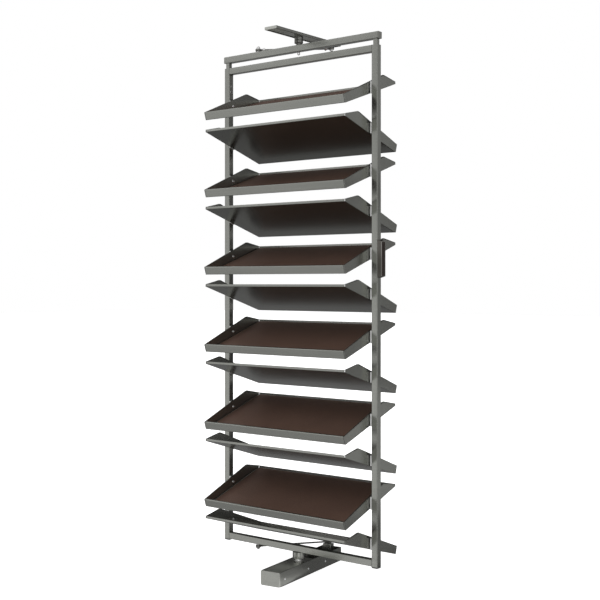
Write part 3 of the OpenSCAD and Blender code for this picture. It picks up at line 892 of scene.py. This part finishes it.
def make_slides():
    """Drawer slides on both sides of the carriage, with their rows of balls."""
    outer = Piece("slide_outer_members")
    inner = Piece("slide_inner_members")
    balls = Piece("slide_ball_cages")
    section = slide_section(5.5, 36, 1.2, 3.0)
    channel = [(7.4 - u, v) for u, v in slide_section(7.4, 26, 2, 4.0)]
    ball = [(BALL * math.sin(a), BALL * math.cos(a)) for a in (0.3, 0.9, 1.57, 2.2, 2.8)]
    for side in SIDES:
        flip = IN_BASE @ mirrored(side)
        outer.prism(section, 376, flip @ at(33.5, -188, 7) @ ALONG_Y, edge=0.3)
        inner.prism(channel, 370, flip @ at(29, CARRIAGE_FRONT, 12) @ ALONG_Y, edge=0.3)
        for n in range(BALLS_IN_ROW):
            for z in BALL_ROWS_Z:
                place = flip @ at(35.3, BALL_FIRST_Y + n * BALL_STEP, z)
                balls.lathe(ball, place, sides=12)
    outer.done("base", "slide_steel", "outer_slides")
    inner.done("carriage", "slide_steel", "inner_slides")
    balls.done("base", "bright_steel")


def make_carriage():
    """Sliding cover with turned-down edges over two webs, closed by a cap at the front."""
    body = Piece("carriage_frame")
    front = CARRIAGE_FRONT
    cover = rounded(
        [
            (-38, 47), (-38, CARRIAGE_TOP), (38, CARRIAGE_TOP), (38, 47),
            (36.6, 47), (36.6, 51), (-36.6, 51), (-36.6, 47),
        ],
        [0.5, 2.2, 2.2, 0.5, 0.5, 0.9, 0.9, 0.5],
    )
    body.prism(cover, COVER_REAR - front, IN_BASE @ at(0, front, 0) @ ALONG_Y, edge=0.4)
    for side in SIDES:
        for height, rear, z in ((30, WEB_REAR, 25), (13, COVER_REAR - 1, 45)):
            web = IN_BASE @ at(28 * side, front, 0) @ at(0, 0, z) @ ALONG_Y
            body.prism(rectangle(2, height, 0.6), rear - front, web, edge=0.3)
    body.prism(rectangle(54, 50, 2), 2, IN_BASE @ at(0, 0, 10), edge=0.5)
    body.done("carriage", "carriage_metal", "carriage")

    cap = Piece("rail_front_cap")
    x, top = BASE_HALF, BASE_HEIGHT - 1
    face = rounded([(-x, 0), (x, 0), (x, top), (-x, top)], [5, 5, 3, 3], 5)
    cap.prism(face, 11.5, IN_BASE @ at(0, CAP_FRONT, 1) @ ALONG_Y, edge=1.3)
    cap.done("carriage", "carriage_metal", "front_cap")

    shaft = Piece("pivot_shaft_turned")
    shaft.disc(10, PIVOT_LOW, PIVOT_TOP, ease=0.8)
    shaft.disc(19, CARRIAGE_TOP, CARRIAGE_TOP + 1.3, ease=0.5, sides=40)
    shaft.disc(13, CARRIAGE_TOP + 1, HOUSING_LOW - PIN_CLEARANCE, ease=0.4, sides=40)
    shaft.done("carriage", "bright_steel", "pivot_shaft")

    housing = Piece("pivot_housing_turned")
    low, high = HOUSING_LOW, FRAME_LOW
    housing.lathe(
        [
            (10.3, low + 0.6), (10.9, low), (21.6, low), (22.6, low + 0.5), (23.0, low + 1.4),
            (23.0, low + 4), (22.4, low + 4.4), (22.4, low + 5.4), (23.0, low + 5.8),
            (23.5, low + 6.4), (23.5, high - 0.8),
            (22.7, high), (10.9, high), (10.3, high - 0.6),
        ],
        sides=48, endless=True,
    )
    housing.done("frame", "frame_metal", "pivot_housing")


# ---------------------------------------------------------------- tie rods


def rod_between(piece, start, end, eye_radius, eye_height, rod_radius):
    """Tie rod with an eye at each end and swaged necks; gives its axis and length."""
    half = eye_height / 2
    for place in (start, end):
        piece.collar(eye_radius, PIN_RADIUS + 0.05, -half, half, at(*place), ease=1.2)
    axis = toward(start, end)
    span = (Vector(end) - Vector(start)).length
    first, last = eye_radius * 0.84, span - eye_radius * 0.84
    grow = rod_radius * 1.18
    piece.lathe(
        [
            (grow, first), (grow, first + 7), (rod_radius, first + 11),
            (rod_radius, last - 11), (grow, last - 7), (grow, last),
        ],
        axis, sides=24,
    )
    return axis, span


def make_lower_rod():
    turn = math.radians(BASE_TURN)
    frame_end = (-CRANK, 0, LOW_ROD_Z)
    rail_end = (-LOW_PIN * math.sin(turn), LOW_PIN * math.cos(turn), LOW_ROD_Z)
    rod = Piece("lower_rod")
    rod_between(rod, frame_end, rail_end, 10, 10, 3.2)
    rod.done("lower_arm", "dark_steel", "lower_tie_rod")

    stud = Piece("lower_rod_nut_set")
    pin = at(-CRANK, 0, 0)
    low = LOW_ROD_Z - 5
    stud.disc(PIN_RADIUS, low - 3, FRAME_LOW - PIN_CLEARANCE, pin, sides=24)
    cap_nut(stud, pin @ at(0, 0, low) @ turned(180, "X"), 16, 7)
    stud.done("lower_arm", "bright_steel", "lower_rod_stud")


def cap_nut(piece, matrix, width, height):
    """Flanged cap nut with a domed top, upwards from z = 0."""
    radius = width / 2
    piece.disc(radius, 0, height * 0.22, matrix, ease=0.5)
    piece.hexagon(width * 0.78, height * 0.2, height * 0.62, matrix)
    dome = []
    for a in (0, 0.4, 0.8, 1.2, 1.5):
        dome.append((radius * 0.76 * math.cos(a), height * (0.6 + 0.4 * math.sin(a))))
    piece.lathe(dome, matrix)


# ---------------------------------------------------------------- top

TOP_Z = 2055
TOP_LOW = 2044
TOP_MIDDLE = (TOP_Z + TOP_LOW) / 2
TOP_HALF = 28.5
TOP_WALL = 1.5
TOP_FRONT = -167
TOP_REAR = 232
TOP_PIN = 207
RUNNER_REAR = 190
RUNNER_HALF = 26.3
RUNNER_LOW = 2046
RUNNER_TOP = 2053.2
JOINT_LOW = 2020.5
JOINT_TOP = 2035.5
RING_DROP = 6.7
RING_RADIUS = 4.7
RING_STEPS = 40
JAM_NUT = 6
JAM_NUT_AT = 20


def make_top_rail():
    rail = Piece("ceiling_rail")
    x, low, wall = TOP_HALF, TOP_LOW, TOP_WALL
    inner, lip = x - wall, x - wall - 4.5
    section = rounded(
        [
            (-x, low), (-lip, low), (-lip, low + wall), (-inner, low + wall),
            (-inner, TOP_Z - wall), (inner, TOP_Z - wall),
            (inner, low + wall), (lip, low + wall), (lip, low), (x, low), (x, TOP_Z), (-x, TOP_Z),
        ],
        [1.8, 0.6, 0.6, 0.5, 0.5, 0.5, 0.5, 0.6, 0.6, 1.8, 1.8, 1.8],
        steps=2,
    )
    front = TOP_FRONT + 1.8
    rail.prism(section, TOP_REAR - front - wall, at(0, front, 0) @ ALONG_Y, edge=0.3)
    rear = at(0, TOP_REAR - wall, TOP_MIDDLE) @ ALONG_Y
    rail.prism(rectangle(2 * x, TOP_Z - low, 1.6), wall, rear, edge=0.6)
    rail.done("top_plate", "rail_metal", "top_channel")

    stud = Piece("ceiling_rail_stud")
    pin = at(0, TOP_PIN, 0)
    low_face = JOINT_TOP - 4.5
    stud.disc(PIN_RADIUS, low_face - 5, TOP_Z - wall, pin, sides=24)
    stud.thread(PIN_RADIUS, low_face - 7, low_face - 5, pin)
    stud.disc(7, JOINT_TOP + 4.8, TOP_Z - wall, pin, ease=0.6)
    stud.hexagon(13, low_face - 5.8, low_face - 0.5, pin)
    stud.done("top_plate", "bright_steel", "top_anchor_stud")


def make_top_head():
    runner = Piece("ceiling_runner")
    x, low, high, wall = RUNNER_HALF, RUNNER_LOW, RUNNER_TOP, TOP_WALL
    inner = x - wall
    section = rounded(
        [
            (-x, low), (-inner, low), (-inner, high - wall), (inner, high - wall),
            (inner, low), (x, low), (x, high), (-x, high),
        ],
        [0.5, 0.5, 0.4, 0.4, 0.5, 0.5, 1.4, 1.4],
        steps=2,
    )
    length = RUNNER_REAR - TOP_FRONT
    runner.prism(section, length - wall, at(0, TOP_FRONT + wall, 0) @ ALONG_Y, edge=0.3)
    flange = at(0, TOP_FRONT, TOP_MIDDLE) @ ALONG_Y
    runner.prism(rectangle(2 * TOP_HALF, TOP_Z - TOP_LOW, 2), wall, flange, edge=0.5)
    backing = at(0, TOP_FRONT + 0.6, (low + high) / 2)
    runner.prism(rectangle(46, high - low - 0.4, 0.8), 2, backing @ ALONG_Y)
    closing = at(0, (RUNNER_REAR + TOP_FRONT) / 2, low)
    runner.prism(rectangle(2 * x - 0.4, length - 4, 1), wall, closing, edge=0.3)
    runner.done("top_head", "carriage_metal", "top_runner")

    pivot = Piece("ceiling_pivot")
    base = BEAM_TOP + PIN_CLEARANCE
    pivot.lathe(
        [
            (6.2, base), (9.4, base), (9.8, base + 0.4), (9.8, base + 6.6),
            (15.2, base + 6.8), (16.1, base + 7.3), (16.5, base + 8.2), (16.5, base + 19),
            (15.6, base + 19.8), (15.6, base + 21.4), (16.4, base + 22.2),
            (16.4, high - wall), (6.2, high - wall),
        ],
        sides=48, endless=True,
    )
    pivot.done("top_head", "dark_steel", "top_pivot")


def make_release_pin():
    """Pivot pin with a stop collar and a thin neck, and the pull ring that hangs from it."""
    piece = Piece("release_pull_pin")
    low = BEAM_Z - 0.5
    piece.disc(6, low, BEAM_TOP + 7, ease=0.9)
    piece.disc(9, BEAM_TOP - 4.5, BEAM_TOP - 1.6, ease=0.4)
    middle = BEAM_Z - RING_DROP
    piece.disc(2.2, middle + 3.4, low + 1, ease=0.5, sides=20)
    piece.done("release_pin", "bright_steel", "release_pin")

    ring = Piece("release_pull_ring")
    rings = []
    for k in range(RING_STEPS):
        turn = turned(360 * k / RING_STEPS, "Y")
        rings.append([tuple(turn @ Vector((RING_RADIUS + u, v, 0))) for u, v in circle(1.5, 12)])
    ring.loft(rings, at(0, 0, middle), endless=True)
    ring.done("release_pin", "dark_steel")


def make_upper_rod():
    frame_end = (-CRANK, 0, JOINT_LOW)
    rail_end = (0, TOP_PIN, JOINT_TOP)
    rod = Piece("upper_rod")
    axis, span = rod_between(rod, frame_end, rail_end, 11, 9, 4.2)
    rod.done("upper_arm", "dark_steel", "upper_tie_rod")

    nuts = Piece("upper_rod_jam_nuts")
    for z in (JAM_NUT_AT, span - JAM_NUT_AT - JAM_NUT):
        nuts.hexagon(15, z, z + JAM_NUT, axis)
        nuts.collar(6.6, 4.4, z - 1.2, z, axis, ease=0.2)
    nuts.thread(5, JAM_NUT_AT - 7, JAM_NUT_AT, axis)
    nuts.thread(5, span - JAM_NUT_AT, span - JAM_NUT_AT + 7, axis)
    nuts.done("upper_arm", "bright_steel")

    stud = Piece("upper_rod_nut_set")
    pin = at(-CRANK, 0, 0)
    stud.disc(PIN_RADIUS, BEAM_TOP + PIN_CLEARANCE, JOINT_LOW + 7.5, pin, sides=24)
    stud.disc(7, BEAM_TOP + PIN_CLEARANCE, JOINT_LOW - 4.5, pin, ease=0.5)
    cap_nut(stud, pin @ at(0, 0, JOINT_LOW + 4.5), 16.5, 11)
    stud.done("upper_arm", "bright_steel", "upper_rod_stud")


def make_object():
    for i in SHELVES:
        make_shelf(i)
        make_mat(i)
    make_painted_seam_shade()
    make_shelf_screws()
    make_hangers(-1, "hangers_left")
    make_hangers(1, "hangers_right")
    make_upright(-1, "left_upright")
    make_upright(1, "right_upright")
    make_bar("crossbar_low_tube", "frame", INNER_X, FRAME_LOW, "bottom_crossbar")
    make_bar("crossbar_high_tube", "frame", INNER_X, FRAME_TOP - TUBE, "upper_crossbar")
    make_bar("top_beam_tube", "top_beam", HALF_WIDTH, BEAM_Z, "top_beam")
    make_weld_beads()
    make_posts()
    make_guides()
    make_feet()
    make_clamp_screws()
    make_beam_caps()
    make_handle()
    make_frame_screws()
    make_base_rail()
    make_slides()
    make_carriage()
    make_lower_rod()
    make_top_rail()
    make_top_head()
    make_release_pin()
    make_upper_rod()


# ---------------------------------------------------------------- stage

FLOOR_SIZE = 60
FLOOR_GLOW = 0.93
WHITE_LIGHT = (1, 1, 1, 1)

# The studio's soft light as lobes: direction, cosine at which each starts, falloff power, gain
LOBES = [
    # overall fill, then what the front faces, lips and hems reflect
    ((-0.55, -0.60, 0.58), -0.35, 1.5, 0.08),
    ((-0.61, -0.60, 0.48), 0.94, 1.0, 1.60),
    ((-0.62, -0.77, 0.0), 0.90, 1.0, 0.66),
    ((-0.62, -0.77, -0.12), 0.80, 1.0, 0.10),
    ((-0.62, -0.70, -0.38), 0.80, 1.0, 0.49),
    ((-0.62, -0.48, -0.62), 0.85, 1.0, 0.20),
    # what the undersides, right faces and mats reflect
    ((0.25, 0.93, -0.27), 0.95, 1.0, 0.22),
    ((-0.61, 0.78, -0.15), 0.92, 1.0, 0.20),
    ((-0.60, 0.60, -0.53), 0.84, 1.0, 0.17),
    ((0.61, 0.75, 0.30), 0.94, 1.0, 0.30),
    ((-0.62, 0.60, 0.50), 0.75, 1.0, 0.08),
    # what top faces and folded edges reflect
    ((0.0, 0.0, 1.0), 0.80, 1.0, 1.20),
    ((-0.62, 0.0, 0.77), 0.92, 1.0, 1.50),
    # light for round parts and for the sides, the back and the view from above
    ((0.75, -0.65, 0.10), 0.30, 1.0, 0.55),
    ((0.62, -0.78, 0.0), 0.90, 1.0, 1.20),
    ((-0.1, 1.0, 0.10), 0.92, 1.0, 0.5),
    ((-1.0, 0.05, 0.1), 0.85, 1.0, 0.6),
    ((1.0, 0.05, 0.1), 0.85, 1.0, 0.9),
    ((0.72, 0.52, -0.46), 0.94, 1.0, 1.3),
    ((0.45, 0.45, 0.77), 0.85, 1.0, 0.2),
    ((0.10, -0.75, 0.65), 0.86, 1.0, 2.2),
]

# Softboxes to the right, behind the rack: name, place, aim, size, watts
SOFTBOXES = [
    ("right_back_high", (1.0, 0.85, 1.95), (0.36, 0, 1.75), (0.5, 0.8), 0.35),
    ("right_back_middle", (1.0, 0.85, 1.1), (0.36, 0, 1.1), (0.5, 0.8), 0.35),
    ("right_back_low", (1.0, 0.85, 0.35), (0.36, 0, 0.4), (0.5, 0.6), 0.45),
]

# Light that the floor sends up, fading along the base rail's side: name, x, y, size, watts
FLOOR_BOUNCES = [
    ("floor_bounce_near", 0.17, -0.18, (0.22, 0.22), 0.022),
    ("floor_bounce_middle", 0.17, -0.145, (0.22, 0.29), 0.029),
    ("floor_bounce_far", 0.17, -0.11, (0.22, 0.36), 0.036),
    ("floor_bounce_side", 0.80, 0.55, (0.5, 0.5), 0.12),
]
BOUNCE_Z = 0.004


def make_floor():
    """A pale sweep: bright to the camera, and not mirrored in the rack's undersides."""
    bpy.ops.mesh.primitive_plane_add(size=FLOOR_SIZE, location=(0, 0, 0))
    floor = bpy.context.object
    floor.name = "floor"
    floor.visible_diffuse = False
    floor.visible_glossy = False
    s = Shader("floor")
    speckle = s.noise(30, detail=2)
    pale = s.ramp(speckle, tint(WHITE, 0.90), tint(WHITE, 0.94))
    s.link(pale, s.bsdf.inputs["Base Color"])
    s.set(Roughness=0.8, Emission_Color=WHITE_LIGHT, Emission_Strength=FLOOR_GLOW)
    floor.data.materials.append(s.material)


def make_world():
    """White backdrop for the camera, and a soft studio around the rack."""
    world = bpy.data.worlds.new("studio")
    bpy.context.scene.world = world
    world.use_nodes = True
    tree = world.node_tree
    link = tree.links.new

    def math_node(operation, first, second):
        made = add_node(tree, "ShaderNodeMath", operation=operation)
        for socket, value in zip(made.inputs, (first, second)):
            if isinstance(value, (int, float)):
                socket.default_value = value
            else:
                link(value, socket)
        return made.outputs["Value"]

    def lobe(middle, start, power, gain):
        """Light that grows smoothly from start to its full gain as a direction nears middle."""
        dot = add_node(tree, "ShaderNodeVectorMath", operation="DOT_PRODUCT")
        dot.inputs[1].default_value = Vector(middle).normalized()
        link(direction, dot.inputs[0])
        span = add_node(tree, "ShaderNodeMapRange")
        span.inputs["From Min"].default_value = start
        link(dot.outputs["Value"], span.inputs["Value"])
        return math_node("MULTIPLY", math_node("POWER", span.outputs["Result"], power), gain)

    direction = add_node(tree, "ShaderNodeTexCoord").outputs["Generated"]
    total = 0.0
    for one in LOBES:
        total = math_node("ADD", total, lobe(*one))
    shown = tree.nodes["Background"]
    shown.inputs["Color"].default_value = WHITE_LIGHT
    studio = add_node(tree, "ShaderNodeBackground")
    link(total, studio.inputs["Strength"])
    mix = add_node(tree, "ShaderNodeMixShader")
    link(add_node(tree, "ShaderNodeLightPath").outputs["Is Camera Ray"], mix.inputs["Fac"])
    link(studio.outputs["Background"], mix.inputs[1])
    link(shown.outputs["Background"], mix.inputs[2])
    link(mix.outputs["Shader"], tree.nodes["World Output"].inputs["Surface"])


def make_softbox(name, place, aim, size, watts):
    data = bpy.data.lights.new(name, "AREA")
    data.shape = "RECTANGLE"
    data.size, data.size_y = size
    data.energy = watts
    lamp = bpy.data.objects.new(name, data)
    lamp.location = place
    lamp.rotation_euler = (Vector(aim) - Vector(place)).to_track_quat("-Z", "Y").to_euler()
    lamp.visible_camera = False
    bpy.context.collection.objects.link(lamp)


make_camera()
make_world()
for softbox in SOFTBOXES:
    make_softbox(*softbox)
for name, x, y, size, watts in FLOOR_BOUNCES:
    make_softbox(name, (x, y, BOUNCE_Z), (x, y, 1), size, watts)
make_floor()
dress_nodes()
make_object()

view = bpy.context.scene.view_settings
view.view_transform = "Standard"
view.look = "None"
